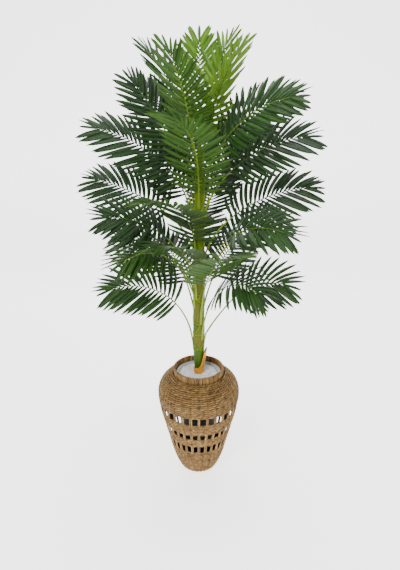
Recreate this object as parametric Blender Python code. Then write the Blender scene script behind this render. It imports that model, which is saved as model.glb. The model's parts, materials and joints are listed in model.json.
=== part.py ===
"""Artificial areca palm in a woven vase basket.

One closed solid for each piece: the openwork basket, the plastic pot inside it, the crushed
stone that fills the pot, the sheathed trunk, the dry sheath round its foot, and one solid for
each frond. Metres, +Z up. The origin is the centre of the basket's flat underside, and -Y is
the side that is usually looked at.
"""
import math
from collections import namedtuple

import bmesh
import bpy
from mathutils import Matrix, Vector
from mathutils.bvhtree import BVHTree

# What the whole stands on and what touching pieces keep between them
CLEARANCE = 0.0003

# Basket: half of its section, from the foot up, as height and outside radius
BASKET_HEIGHT = 0.506
BASKET_FOOT_RADIUS = 0.064
BASKET_BELLY_RADIUS = 0.1745
BASKET_NECK_RADIUS = 0.1075
BASKET_WALL = 0.006
BASKET_SIDE = (
    (0.000, BASKET_FOOT_RADIUS),
    (0.022, 0.084),
    (0.080, 0.108),
    (0.156, 0.1275),
    (0.184, 0.1342),
    (0.232, 0.146),
    (0.255, 0.1515),
    (0.318, 0.1665),
    (0.347, 0.172),
    (0.382, BASKET_BELLY_RADIUS),
    (0.418, 0.1695),
    (0.446, 0.1545),
    (0.462, 0.130),
    (0.465, BASKET_NECK_RADIUS),
    (BASKET_HEIGHT, BASKET_NECK_RADIUS),
)
# The three rows of windows stand between these heights of the section
WINDOW_ROWS = ((0.156, 0.184), (0.232, 0.255), (0.318, 0.347))
WINDOWS_AROUND = 30
WINDOW_SHARE = 0.66
# Turns the basket so that a bar between windows stands at the middle of the front
BASKET_TURN = -3.5

# Plastic pot inside the basket, standing on the basket's floor
POT_SIDES = 24
POT_WALL = 0.003
POT_FOOT_RADIUS = 0.058
POT_RIM_RADIUS = 0.0945
POT_LIP = 0.010
POT_TOP = 0.480
STONE_TOP = 0.476

# Trunk: height and radius, from the flat cut on the stones to the tip
TRUNK_SIDES = 14
TRUNK_LEAN = 0.004
TRUNK_TIP = 1.47
TRUNK_SIDE = (
    (STONE_TOP + CLEARANCE, 0.0178),
    (0.504, 0.0188),
    (0.540, 0.0206),
    (0.600, 0.0232),
    (0.660, 0.0243),
    (0.668, 0.0233),
    (0.845, 0.0237),
    (0.853, 0.0226),
    (1.000, 0.0226),
    (1.100, 0.0220),
    (1.108, 0.0208),
    (1.240, 0.0192),
    (1.340, 0.0150),
    (1.420, 0.0095),
    (TRUNK_TIP, 0.0045),
)

# Dry sheath: a husk that wraps the front of the trunk's foot and climbs on its right
HUSK_STEPS = 16
HUSK_FOOT = STONE_TOP + 2 * CLEARANCE
HUSK_THICKNESS = 0.0018
HUSK_FLARE = 0.007
# Its upper edge: degrees round the trunk from +X, and height
HUSK_EDGE = (
    (-200, 0.498),
    (-90, 0.506),
    (-50, 0.524),
    (-25, 0.562),
    (-12, 0.588),
    (8, 0.594),
    (28, 0.586),
    (44, 0.560),
)

# Fronds
LEAFLET_PAIRS = 10
LEAFLET_LENGTH = 0.135
LEAFLET_WIDTH = 0.020
LEAFLET_THICKNESS = 0.0022
LEAFLET_MARGIN = 0.0008
LEAFLET_ANGLE_BASE, LEAFLET_ANGLE_TIP = 92, 24
LEAFLET_RAISE = 4
LEAFLET_DROOP = 0.16
LEAFLET_SWEEP = 0.24
PETIOLE_STEPS = 5
STALK_HALF_FOOT, STALK_HALF_BLADE, STALK_HALF_TIP = 0.0042, 0.0028, 0.0012

# A frond leaves the trunk at `foot`, facing `turn` (degrees from +X, anticlockwise from above),
# and `swing` is how far it turns aside by its tip. `rise_` is how steeply it climbs at its foot,
# where its leaflets begin, and at its tip; `roll` tips its upper face about the rib.
Frond = namedtuple("Frond", "turn swing foot petiole blade rise_foot rise_blade rise_tip roll")
FRONDS = (
    # lowest tier
    Frond(190, 0, 0.65, 0.16, 0.28, 82, 52, -16, -55),
    Frond(342, 0, 0.66, 0.22, 0.21, 62, 50, -8, 50),
    Frond(308, 0, 0.70, 0.15, 0.28, 76, 58, -14, 35),
    Frond(118, 0, 0.72, 0.16, 0.30, 70, 45, 0, -25),
    Frond(60, 0, 0.74, 0.16, 0.30, 68, 42, 0, 30),
    # second tier
    Frond(292, 10, 0.77, 0.08, 0.34, 80, 70, 16, 0),
    Frond(222, 0, 0.84, 0.17, 0.25, 70, 48, -18, -30),
    Frond(150, 0, 0.86, 0.17, 0.25, 62, 30, -8, -50),
    Frond(88, 0, 0.86, 0.16, 0.32, 70, 45, 0, 10),
    Frond(242, -10, 0.88, 0.05, 0.29, 80, 70, 4, 0),
    Frond(25, 0, 0.90, 0.18, 0.24, 60, 40, -3, 40),
    Frond(325, 0, 0.94, 0.18, 0.24, 64, 42, -14, 35),
    # third tier
    Frond(210, 0, 0.93, 0.19, 0.25, 65, 44, 6, -50),
    Frond(75, 0, 1.00, 0.16, 0.32, 70, 45, 5, -10),
    Frond(5, 0, 1.01, 0.17, 0.32, 70, 38, 3, 50),
    Frond(243, -20, 1.02, 0.05, 0.32, 80, 70, 4, 0),
    Frond(170, 0, 1.04, 0.16, 0.30, 64, 36, 12, -50),
    Frond(122, 0, 1.08, 0.16, 0.32, 72, 50, 10, -30),
    Frond(60, 0, 1.08, 0.15, 0.34, 75, 65, 25, 30),
    # fourth tier
    Frond(175, 0, 1.17, 0.12, 0.37, 85, 52, 12, -50),
    Frond(347, 0, 1.18, 0.17, 0.29, 70, 45, 8, 50),
    Frond(45, 0, 1.20, 0.15, 0.34, 70, 45, 0, 50),
    Frond(268, -45, 1.20, 0.05, 0.37, 82, 76, 22, 0),
    Frond(100, 0, 1.22, 0.15, 0.32, 75, 55, 20, 0),
    Frond(172, 0, 1.22, 0.14, 0.32, 80, 65, 52, -45),
    Frond(135, 0, 1.26, 0.15, 0.32, 76, 60, 30, -30),
    # crown
    Frond(328, 0, 1.27, 0.15, 0.32, 76, 56, 10, 55),
    Frond(20, 0, 1.31, 0.15, 0.28, 64, 48, 24, 45),
    Frond(242, 0, 1.33, 0.12, 0.30, 80, 72, 50, -10),
    Frond(90, 0, 1.34, 0.10, 0.34, 88, 84, 68, 0),
    Frond(315, 0, 1.36, 0.10, 0.30, 82, 74, 50, 15),
    Frond(165, 0, 1.37, 0.10, 0.30, 82, 72, 52, -10),
    Frond(30, 0, 1.39, 0.10, 0.28, 84, 80, 66, 10),
)

Finish = namedtuple("Finish", "name colour roughness")
SEAGRASS = Finish("seagrass", (0.36, 0.23, 0.10), 0.85)
GREY_PLASTIC = Finish("grey_plastic", (0.10, 0.11, 0.12), 0.5)
WHITE_STONE = Finish("white_stone", (0.72, 0.73, 0.74), 0.8)
GREEN_STEM = Finish("green_stem", (0.20, 0.27, 0.02), 0.5)
OCHRE_HUSK = Finish("ochre_husk", (0.66, 0.30, 0.02), 0.6)
PALM_GREEN = Finish("palm_green", (0.03, 0.11, 0.015), 0.45)


def on_line(points, at):
    """The value at `at` on the line through (place, value) points."""
    for (low, first), (high, last) in zip(points, points[1:]):
        if at <= high:
            share = max(0.0, (at - low) / (high - low))
            return first + (last - first) * share
    return points[-1][1]


def material_for(finish):
    """A plain surface with the finish's colour and roughness, made once."""
    material = bpy.data.materials.get(finish.name)
    if material is None:
        material = bpy.data.materials.new(finish.name)
        material.use_nodes = True
        shader = material.node_tree.nodes["Principled BSDF"]
        shader.inputs["Base Color"].default_value = (*finish.colour, 1.0)
        shader.inputs["Roughness"].default_value = finish.roughness
        shader.inputs["Metallic"].default_value = 0.0
    return material


def add_object(bm, name, finish, smooth=True):
    """Turn a bmesh into a named object with its normals out and its material set."""
    bmesh.ops.recalc_face_normals(bm, faces=bm.faces)
    mesh = bpy.data.meshes.new(name)
    bm.to_mesh(mesh)
    bm.free()
    if smooth:
        mesh.shade_smooth()
        mesh.set_sharp_from_angle(angle=math.radians(40))
    mesh.materials.append(material_for(finish))
    placed = bpy.data.objects.new(name, mesh)
    bpy.context.scene.collection.objects.link(placed)
    return placed


def turned(bm, section, sides):
    """Spin a section, given as (radius, height) points, once round the Z axis."""
    corners = [bm.verts.new((radius, 0.0, height)) for radius, height in section]
    edges = [bm.edges.new(pair) for pair in zip(corners, corners[1:])]
    bmesh.ops.spin(
        bm,
        geom=corners + edges,
        cent=(0, 0, 0),
        axis=(0, 0, 1),
        angle=math.tau,
        steps=sides,
        use_merge=True,
    )
    bmesh.ops.remove_doubles(bm, verts=bm.verts, dist=0.00005)


def widen_windows(bm, columns):
    """Turn every second column of corners so that windows and bars differ in width."""
    pitch = math.tau / columns
    aside = pitch * (WINDOW_SHARE - 0.5) * 2
    for corner in bm.verts:
        radius = math.hypot(corner.co.x, corner.co.y)
        if radius < 0.001:
            continue
        column = round(math.atan2(corner.co.y, corner.co.x) / pitch) % columns
        if column % 2:
            angle = column * pitch + aside
            corner.co.x = radius * math.cos(angle)
            corner.co.y = radius * math.sin(angle)


def is_window(face, columns):
    """Whether a face of the basket's wall lies in one of its windows."""
    middle = face.calc_center_median()
    in_row = any(low < middle.z < high for low, high in WINDOW_ROWS)
    angle = math.atan2(middle.y, middle.x) % math.tau
    return in_row and angle % (2 * math.tau / columns) < WINDOW_SHARE * 2 * math.tau / columns


def make_basket():
    """The openwork vase: a turned shell with windows cut out, then given its thickness."""
    columns = 2 * WINDOWS_AROUND
    bm = bmesh.new()
    turned(bm, [(0.0, 0.0)] + [(radius, height) for height, radius in BASKET_SIDE], columns)
    widen_windows(bm, columns)
    windows = [face for face in bm.faces if is_window(face, columns)]
    bmesh.ops.delete(bm, geom=windows, context="FACES_ONLY")
    turn = Matrix.Rotation(math.radians(BASKET_TURN), 3, "Z")
    bmesh.ops.rotate(bm, verts=bm.verts, cent=(0, 0, 0), matrix=turn)
    bmesh.ops.recalc_face_normals(bm, faces=bm.faces)
    basket = add_object(bm, "basket", SEAGRASS)
    wall = basket.modifiers.new("wall", "SOLIDIFY")
    wall.thickness = BASKET_WALL
    wall.offset = -1.0
    wall.use_even_offset = True
    return basket


def pot_radius(height):
    """Outside radius of the plastic pot's side at a height."""
    foot = BASKET_WALL + CLEARANCE
    return on_line(((foot, POT_FOOT_RADIUS), (POT_TOP, POT_RIM_RADIUS - POT_LIP)), height)


def make_pot():
    """The tapered plastic pot, with a lip turned out round its rim."""
    foot = BASKET_WALL + CLEARANCE
    floor = foot + POT_WALL
    lip_height = 0.008
    rim = POT_TOP - lip_height
    inside = POT_RIM_RADIUS - POT_LIP - POT_WALL
    section = (
        (0.0, foot),
        (POT_FOOT_RADIUS, foot),
        (pot_radius(rim), rim),
        (POT_RIM_RADIUS, rim),
        (POT_RIM_RADIUS, POT_TOP),
        (inside, POT_TOP),
        (POT_FOOT_RADIUS - POT_WALL, floor),
        (0.0, floor),
    )
    bm = bmesh.new()
    turned(bm, section, POT_SIDES)
    return add_object(bm, "inner_pot", GREY_PLASTIC)


def make_stones():
    """The fill of crushed stone, clear of the pot's wall and floor by the clearance."""
    floor = BASKET_WALL + POT_WALL + 2 * CLEARANCE
    gap = 2 * CLEARANCE
    top_radius = on_line(
        ((BASKET_WALL, POT_FOOT_RADIUS), (POT_TOP, POT_RIM_RADIUS - POT_LIP)), STONE_TOP
    )
    section = (
        (0.0, floor),
        (POT_FOOT_RADIUS - POT_WALL - gap, floor),
        (top_radius - POT_WALL - gap, STONE_TOP),
        (0.0, STONE_TOP),
    )
    bm = bmesh.new()
    turned(bm, section, POT_SIDES)
    return add_object(bm, "stones", WHITE_STONE)


def trunk_radius(height):
    """Radius of the trunk at a height."""
    return on_line(TRUNK_SIDE, height)


def trunk_centre(height):
    """Centre of the trunk at a height: it leans a little to the right as it climbs."""
    share = (height - STONE_TOP) / (TRUNK_TIP - STONE_TOP)
    return Vector((TRUNK_LEAN * share, 0.0, height))


def make_trunk():
    """The trunk: one turned limb, narrow at its foot and stepped where old sheaths end."""
    bm = bmesh.new()
    foot, first = TRUNK_SIDE[0]
    made = bmesh.ops.create_circle(bm, cap_ends=True, segments=TRUNK_SIDES, radius=first)
    bmesh.ops.translate(bm, verts=made["verts"], vec=trunk_centre(foot))
    end = bm.faces[:][0]
    for (low, inner), (high, outer) in zip(TRUNK_SIDE, TRUNK_SIDE[1:]):
        end = extrude_on(bm, end)
        bmesh.ops.translate(bm, verts=end.verts, vec=trunk_centre(high) - trunk_centre(low))
        for corner in end.verts:
            centre = trunk_centre(high)
            corner.co = centre + (corner.co - centre) * (outer / inner)
    return add_object(bm, "trunk", GREEN_STEM)


def husk_ring(share):
    """Corners of the husk at a share of its way round, inner and outer, from its foot up."""
    first, last = HUSK_EDGE[0][0], HUSK_EDGE[-1][0]
    # The steps crowd towards the climbing side, where the edge is shaped most
    angle = first + (last - first) * (1 - (1 - share) ** 2)
    out = heading(angle, 0)
    top = on_line(HUSK_EDGE, angle)
    climb = (top - HUSK_EDGE[0][1]) / 0.1
    levels = ((HUSK_FOOT, 0.0), ((HUSK_FOOT + top) / 2, 0.0), (top, HUSK_FLARE * climb))
    corners = []
    for height, flare in levels:
        inner = trunk_radius(height) + flare + 2 * CLEARANCE
        centre = trunk_centre(height)
        corners.append((centre + out * inner, centre + out * (inner + HUSK_THICKNESS)))
    return corners


def make_husk():
    """The ochre husk: a thin curved blade that stands against the trunk's foot."""
    bm = bmesh.new()
    rings = []
    for step in range(HUSK_STEPS + 1):
        inner_outer = husk_ring(step / HUSK_STEPS)
        loop = [pair[0] for pair in inner_outer] + [pair[1] for pair in reversed(inner_outer)]
        rings.append([bm.verts.new(place) for place in loop])
    for ring in (rings[0], rings[-1]):
        bm.faces.new(ring)
    for ring, following in zip(rings, rings[1:]):
        for index in range(len(ring)):
            after = (index + 1) % len(ring)
            bm.faces.new((ring[index], ring[after], following[after], following[index]))
    return add_object(bm, "dry_sheath", OCHRE_HUSK)


def heading(turn, rise):
    """Unit vector that faces `turn` degrees and climbs `rise` degrees."""
    turn, rise = math.radians(turn), math.radians(rise)
    flat = math.cos(rise)
    return Vector((math.cos(turn) * flat, math.sin(turn) * flat, math.sin(rise)))


def rib_length(frond):
    """Length of a frond's petiole and rib together."""
    return frond.petiole + frond.blade


def rib_direction(frond, along):
    """Direction, upper face and left side of the rib at a distance along it."""
    if along < frond.petiole:
        share = along / frond.petiole
        rise = frond.rise_foot + (frond.rise_blade - frond.rise_foot) * share
    else:
        share = (along - frond.petiole) / frond.blade
        rise = frond.rise_blade + (frond.rise_tip - frond.rise_blade) * share
    turn = frond.turn + frond.swing * (along / rib_length(frond)) ** 2
    forward = heading(turn, rise)
    face = heading(turn, rise + 90)
    side = forward.cross(face)
    roll = math.radians(frond.roll)
    turned_face = face * math.cos(roll) + side * math.sin(roll)
    turned_side = side * math.cos(roll) - face * math.sin(roll)
    return forward, turned_face, turned_side


def stations(frond):
    """Distances along a frond: the petiole's steps, then one step for each leaflet."""
    steps = [frond.petiole * step / PETIOLE_STEPS for step in range(PETIOLE_STEPS)]
    leaflets = 2 * LEAFLET_PAIRS
    steps += [frond.petiole + frond.blade * step / leaflets for step in range(leaflets + 1)]
    return steps


def rib_places(frond):
    """Centre of the rib at each of its stations."""
    out = heading(frond.turn, 0)
    stand_off = trunk_radius(frond.foot) + STALK_HALF_FOOT + 0.001
    place = trunk_centre(frond.foot) + out * stand_off
    places = [place]
    marks = stations(frond)
    for before, after in zip(marks, marks[1:]):
        forward = rib_direction(frond, (before + after) / 2)[0]
        place = place + forward * (after - before)
        places.append(place)
    return places


def stalk_half(frond, along):
    """Half width of the petiole or rib at a distance along it."""
    marks = (
        (0.0, STALK_HALF_FOOT),
        (frond.petiole, STALK_HALF_BLADE),
        (rib_length(frond), STALK_HALF_TIP),
    )
    return on_line(marks, along)


def rib_section(frond, along, centre, grown=0.0):
    """The three corners of the rib: its upper ridge, its left and its right."""
    _, face, side = rib_direction(frond, along)
    half = stalk_half(frond, along) + grown
    ridge = centre + face * half
    left = centre - face * half * 0.6 + side * half
    right = centre - face * half * 0.6 - side * half
    return ridge, left, right


def leaflet_spread(share):
    """Length of a leaflet as a share of the longest, from the blade's base to its tip."""
    return 0.48 + 0.52 * math.sin(math.pi * (0.16 + 0.78 * share))


def leaflet_corners(frond, along, centre, hand, change, grown=0.0):
    """Middle section's four corners and the tip of one leaflet.

    `hand` is 1 on the rib's left and -1 on its right, and `change` is (raise, angle, length),
    what is added to the leaflet's raise and angle, and what its length is multiplied by.
    """
    forward, face, side = rib_direction(frond, along)
    share = (along - frond.petiole) / frond.blade
    more_raise, more_angle, shorter = change
    spread = LEAFLET_ANGLE_BASE + (LEAFLET_ANGLE_TIP - LEAFLET_ANGLE_BASE) * share + more_angle
    spread = math.radians(spread)
    lift = math.radians(LEAFLET_RAISE + more_raise)
    outward = side * hand * math.cos(lift) + face * math.sin(lift)
    course = forward * math.cos(spread) + outward * math.sin(spread)
    length = LEAFLET_LENGTH * leaflet_spread(share) * shorter
    start = centre + outward * stalk_half(frond, along)

    def place(reach):
        bend = forward * (LEAFLET_SWEEP * math.sin(spread)) + Vector((0, 0, -LEAFLET_DROOP))
        return start + (course * reach + bend * reach * reach) * length

    middle, tip = place(0.45), place(1.0)
    line = (tip - start).normalized()
    across = (forward - line * forward.dot(line)).normalized()
    upper = line.cross(across)
    if upper.dot(face) < 0:
        upper = -upper
    wide = across * (LEAFLET_WIDTH / 2 + grown)
    thick = upper * (LEAFLET_THICKNESS / 2 + grown)
    section = (middle - wide + thick, middle - wide - thick, middle + wide - thick, middle + wide + thick)
    return section, tip + line * grown


def stalk_triangles(frond, grown):
    """The petiole and rib as loose triangles, grown by a margin."""
    marks, places = stations(frond), rib_places(frond)
    rings = [rib_section(frond, along, place, grown) for along, place in zip(marks, places)]
    corners = [corner for ring in rings for corner in ring]
    faces = []
    for step in range(len(rings) - 1):
        for side in range(3):
            low, high = 3 * step + side, 3 * step + (side + 1) % 3
            faces += [(low, high, high + 3), (low, high + 3, low + 3)]
    return corners, faces


def leaflet_triangles(root, section, tip):
    """A leaflet as loose triangles, from its root's four corners."""
    corners = [*root, *section, tip]
    faces = []
    for side in range(4):
        after = (side + 1) % 4
        faces += [(side, after, after + 4), (side, after + 4, side + 4), (side + 4, after + 4, 8)]
    return corners, faces


class Space:
    """What is already taken: solids as trees of triangles, each with its box."""

    def __init__(self):
        self.taken = []

    def add(self, corners, faces, owner):
        low = [min(corner[axis] for corner in corners) for axis in range(3)]
        high = [max(corner[axis] for corner in corners) for axis in range(3)]
        self.taken.append((low, high, BVHTree.FromPolygons(corners, faces), owner))

    def is_free(self, corners, faces, owner):
        """Whether triangles touch nothing that is taken by another owner."""
        low = [min(corner[axis] for corner in corners) for axis in range(3)]
        high = [max(corner[axis] for corner in corners) for axis in range(3)]
        tree = None
        for other_low, other_high, other, other_owner in self.taken:
            if other_owner == owner:
                continue
            if any(low[axis] > other_high[axis] or high[axis] < other_low[axis] for axis in range(3)):
                continue
            tree = tree or BVHTree.FromPolygons(corners, faces)
            if tree.overlap(other):
                return False
        return True


# What a leaflet tries in turn, when it would touch something: raise, angle, length
LEAFLET_CHANGES = (
    (0, 0, 1.0),
    (14, 0, 1.0),
    (-14, 0, 1.0),
    (0, -10, 1.0),
    (26, 0, 0.9),
    (-26, 0, 0.9),
    (0, 0, 0.72),
    (16, -10, 0.72),
    (-16, -10, 0.72),
    (0, 0, 0.5),
    (20, 0, 0.5),
    (-20, 0, 0.5),
)


def extrude_on(bm, face):
    """Extrude a face and return the new one; the old face goes, unless it closes the start."""
    closes_start = all(len(edge.link_faces) == 1 for edge in face.edges)
    made = bmesh.ops.extrude_face_region(bm, geom=[face])["geom"]
    if not closes_start:
        bmesh.ops.delete(bm, geom=[face], context="FACES_ONLY")
    return next(part for part in made if isinstance(part, bmesh.types.BMFace))


def extrude_to(bm, face, places):
    """Extrude a face and put its new corners at `places`, in the order of its own corners."""
    corners = list(face.verts)
    end = extrude_on(bm, face)
    moved = []
    for corner, place in zip(corners, places):
        twin = next(edge.other_vert(corner) for edge in corner.link_edges
                    if edge.other_vert(corner) in end.verts)
        twin.co = place
        moved.append(twin)
    return end, moved


def grow_leaflet(bm, root, section, tip):
    """Extrude one leaflet from a face of the rib, whose corners `root` gives in order."""
    face = next(face for face in root[0].link_faces if set(face.verts) == set(root))
    by_corner = dict(zip(root, section))
    end, _ = extrude_to(bm, face, [by_corner[corner] for corner in face.verts])
    end, _ = extrude_to(bm, end, [tip] * 4)
    bmesh.ops.pointmerge(bm, verts=end.verts[:], merge_co=tip)


def make_frond(frond, name, space):
    """One frond: a three-sided petiole and rib, with leaflets grown from its upper faces."""
    marks, places = stations(frond), rib_places(frond)
    rings = [rib_section(frond, along, place) for along, place in zip(marks, places)]
    bm = bmesh.new()
    end = bm.faces.new([bm.verts.new(corner) for corner in rings[0]])
    grown_rings = [list(end.verts)]
    for ring in rings[1:]:
        by_corner = dict(zip(grown_rings[-1], ring))
        before = list(end.verts)
        end, moved = extrude_to(bm, end, [by_corner[corner] for corner in before])
        twins = dict(zip(before, moved))
        grown_rings.append([twins[corner] for corner in grown_rings[-1]])
    grow_end_leaflet(bm, frond, grown_rings[-1], places[-1])
    kept = 0
    for step in range(2 * LEAFLET_PAIRS):
        index = PETIOLE_STEPS + step
        hand = 1 if step % 2 == 0 else -1
        side = 1 if hand == 1 else 2
        ring, following = grown_rings[index], grown_rings[index + 1]
        root = (ring[0], ring[side], following[side], following[0])
        along = (marks[index] + marks[index + 1]) / 2
        centre = (places[index] + places[index + 1]) / 2
        change = free_change(frond, along, centre, hand, root, name, space)
        if change is None:
            continue
        section, tip = leaflet_corners(frond, along, centre, hand, change)
        grow_leaflet(bm, root, section, tip)
        kept += 1
    print(name, "keeps", kept, "of", 2 * LEAFLET_PAIRS, "leaflets")
    return add_object(bm, name, PALM_GREEN, smooth=False)


def grow_end_leaflet(bm, frond, ring, centre):
    """Finish the rib with a leaflet that carries on along it."""
    forward, face, side = rib_direction(frond, rib_length(frond))
    half = LEAFLET_WIDTH * 0.3
    thick = LEAFLET_THICKNESS / 2
    middle = centre + forward * LEAFLET_LENGTH * 0.22
    section = (middle + face * thick, middle - face * thick + side * half,
               middle - face * thick - side * half)
    tip = centre + forward * LEAFLET_LENGTH * 0.48
    cap = next(cap for cap in ring[0].link_faces if set(cap.verts) == set(ring))
    by_corner = dict(zip(ring, section))
    end, _ = extrude_to(bm, cap, [by_corner[corner] for corner in cap.verts])
    end, _ = extrude_to(bm, end, [tip] * 3)
    bmesh.ops.pointmerge(bm, verts=end.verts[:], merge_co=tip)


def free_change(frond, along, centre, hand, root, name, space):
    """The first change that keeps a leaflet clear of everything else, or None."""
    for change in LEAFLET_CHANGES:
        section, tip = leaflet_corners(frond, along, centre, hand, change, LEAFLET_MARGIN)
        out = (sum(section, Vector()) / 4 - centre).normalized()
        rooted = [corner.co + out * 0.001 for corner in root]
        corners, faces = leaflet_triangles(rooted, section, tip)
        if space.is_free(corners, faces, name):
            space.add(corners, faces, name + "_leaf")
            return change
    return None


def tree_of(placed):
    """An object's evaluated corners and triangles."""
    evaluated = placed.evaluated_get(bpy.context.evaluated_depsgraph_get())
    mesh = evaluated.to_mesh()
    mesh.calc_loop_triangles()
    corners = [vert.co.copy() for vert in mesh.vertices]
    faces = [tuple(triangle.vertices) for triangle in mesh.loop_triangles]
    evaluated.to_mesh_clear()
    return corners, faces


def make_fronds(trunk, basket):
    """All fronds, in order, each leaflet clear of what was made before it."""
    space = Space()
    space.add(*tree_of(trunk), "trunk")
    space.add(*tree_of(basket), "basket")
    names = [f"frond_{number:02d}" for number in range(1, len(FRONDS) + 1)]
    for name, frond in zip(names, FRONDS):
        corners, faces = stalk_triangles(frond, 0.0)
        if not space.is_free(corners, faces, name):
            print(name, "stalk touches another")
        space.add(*stalk_triangles(frond, LEAFLET_MARGIN), name)
    return [make_frond(frond, name, space) for name, frond in zip(names, FRONDS)]


def main():
    for old in list(bpy.data.objects):
        bpy.data.objects.remove(old)
    basket = make_basket()
    make_pot()
    make_stones()
    trunk = make_trunk()
    make_husk()
    make_fronds(trunk, basket)


main()
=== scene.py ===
# %% [markdown]
# An artificial areca palm stands in a woven vase basket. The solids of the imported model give
# every piece its place and its size. This lesson replaces each solid with a finer mesh that
# follows the same rule, so that leaflets, strands of seagrass and crushed stones show.

# %% Load the frame
import json
import random
from collections import namedtuple
from functools import cache
from math import atan2, copysign, cos, degrees, exp, hypot, pi, radians, sin, tau

import bmesh
import bpy
from mathutils import Euler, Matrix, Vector, noise
from mathutils.bvhtree import BVHTree

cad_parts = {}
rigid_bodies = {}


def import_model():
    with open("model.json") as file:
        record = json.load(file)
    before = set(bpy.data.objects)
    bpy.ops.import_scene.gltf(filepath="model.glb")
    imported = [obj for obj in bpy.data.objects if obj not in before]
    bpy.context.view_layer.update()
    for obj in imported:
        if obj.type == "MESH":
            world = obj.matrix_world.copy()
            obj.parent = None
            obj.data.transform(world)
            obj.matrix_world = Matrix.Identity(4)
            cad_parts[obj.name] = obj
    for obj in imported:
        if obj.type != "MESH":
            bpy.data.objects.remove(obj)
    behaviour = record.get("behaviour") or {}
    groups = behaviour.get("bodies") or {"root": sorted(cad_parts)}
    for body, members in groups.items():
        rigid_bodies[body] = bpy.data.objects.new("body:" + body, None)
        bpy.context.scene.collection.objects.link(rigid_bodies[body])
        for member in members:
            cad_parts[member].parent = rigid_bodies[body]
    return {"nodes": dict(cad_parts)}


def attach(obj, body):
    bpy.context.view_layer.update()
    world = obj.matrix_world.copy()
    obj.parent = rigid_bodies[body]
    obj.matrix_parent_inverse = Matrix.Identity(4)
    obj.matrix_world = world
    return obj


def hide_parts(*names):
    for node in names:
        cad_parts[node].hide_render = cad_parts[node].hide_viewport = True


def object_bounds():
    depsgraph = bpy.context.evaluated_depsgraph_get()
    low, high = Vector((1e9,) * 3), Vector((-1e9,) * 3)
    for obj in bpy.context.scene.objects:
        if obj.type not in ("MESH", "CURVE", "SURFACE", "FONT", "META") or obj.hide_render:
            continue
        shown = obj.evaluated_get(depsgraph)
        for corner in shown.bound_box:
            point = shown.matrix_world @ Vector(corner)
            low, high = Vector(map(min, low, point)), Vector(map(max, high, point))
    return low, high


for spare in list(bpy.data.objects):
    bpy.data.objects.remove(spare)
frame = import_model()
cad_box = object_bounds()


def add_object(name, data):
    made = bpy.data.objects.new(name, data)
    bpy.context.scene.collection.objects.link(made)
    return made


print("solids", len(frame["nodes"]), "box", [round(side, 3) for side in cad_box[1] - cad_box[0]])

# %% [markdown]
# The camera stands at head height and looks down a little, so the mouth of the basket shows as
# an ellipse. Its lens is worked out from a focal length in pixels and the height of the picture.

# %% Camera
PICTURE_TALL = 570
FOCAL_PIXELS = 490
SENSOR = 36.0
CAMERA_PITCH = 20.1

camera_data = bpy.data.cameras.new("camera")
camera_data.sensor_width = SENSOR
camera_data.lens = SENSOR * FOCAL_PIXELS / PICTURE_TALL
camera = add_object("camera", camera_data)
camera.location = (0.006, -1.85, 1.55)
camera.rotation_euler = (radians(90 - CAMERA_PITCH), 0, 0)
bpy.context.scene.camera = camera
print("lens", round(camera_data.lens, 2), "mm")

# %% [markdown]
# A material is written as sums and products here. A wire stands for one output of a node, and
# adding or multiplying wires adds the Math nodes for it. A board holds one material, and its
# node method makes any other node from its type, its sockets and its settings.

# %% Materials as expressions
class Wire:
    """One output of a node, which can be added and multiplied like a number."""

    def __init__(self, board, socket):
        self.board = board
        self.socket = socket

    def __add__(self, other):
        return self.board.maths("ADD", self, other)

    def __sub__(self, other):
        return self.board.maths("SUBTRACT", self, other)

    def __mul__(self, other):
        return self.board.maths("MULTIPLY", self, other)


class Board:
    """One material, with the nodes that feed its Principled shader."""

    def __init__(self, name, roughness=0.5):
        self.material = bpy.data.materials.new(name)
        self.material.use_nodes = True
        self.tree = self.material.node_tree
        self.shader = self.tree.nodes["Principled BSDF"]
        self.set("Roughness", roughness)

    def feed(self, socket, value):
        if isinstance(value, Wire):
            self.tree.links.new(value.socket, socket)
        else:
            socket.default_value = value

    def set(self, name, value):
        self.feed(self.shader.inputs[name], value)

    def node(self, kind, inputs, output=0, **settings):
        made = self.tree.nodes.new(kind)
        for key, value in settings.items():
            setattr(made, key, value)
        for key, value in inputs.items():
            self.feed(made.inputs[key], value)
        return Wire(self, made.outputs[output])

    def maths(self, operation, first, second=0.0):
        return self.node("ShaderNodeMath", {0: first, 1: second}, operation=operation)

    def clamped(self, value):
        return self.node("ShaderNodeClamp", {"Value": value})

    def blend(self, share, first, second):
        inputs = {0: share, 6: first, 7: second}
        return self.node("ShaderNodeMix", inputs, output=2, data_type="RGBA")

    def noise(self, stretch, detail=2.0, of="Object"):
        place = self.node("ShaderNodeTexCoord", {}, output=of)
        stretched = self.node("ShaderNodeMapping", {"Vector": place, "Scale": stretch})
        return self.node("ShaderNodeTexNoise", {"Vector": stretched, "Scale": 1.0, "Detail": detail})

    def map_parts(self):
        """The two numbers of the piece's own UV map."""
        place = self.node("ShaderNodeTexCoord", {}, output="UV")
        return [self.node("ShaderNodeSeparateXYZ", {"Vector": place}, output=part) for part in (0, 1)]

    def bump(self, height, distance):
        self.set("Normal", self.node("ShaderNodeBump", {"Height": height, "Distance": distance}))


def colour(red, green, blue, light=1.0):
    """Linear colour from the values that a screen shows, made lighter or darker."""
    return (*(min(1.0, (part / 255) ** 2.2 * light) for part in (red, green, blue)), 1.0)


print("a board makes its own nodes")

# %% [markdown]
# Most pieces are copies of one small template that are bent into place: a straight tube for a
# strand or a stalk, and a flat grid for a leaflet. Bending a copy is quicker than modelling each
# one, and the unrolled UV map of the template stays true on every copy.

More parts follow.
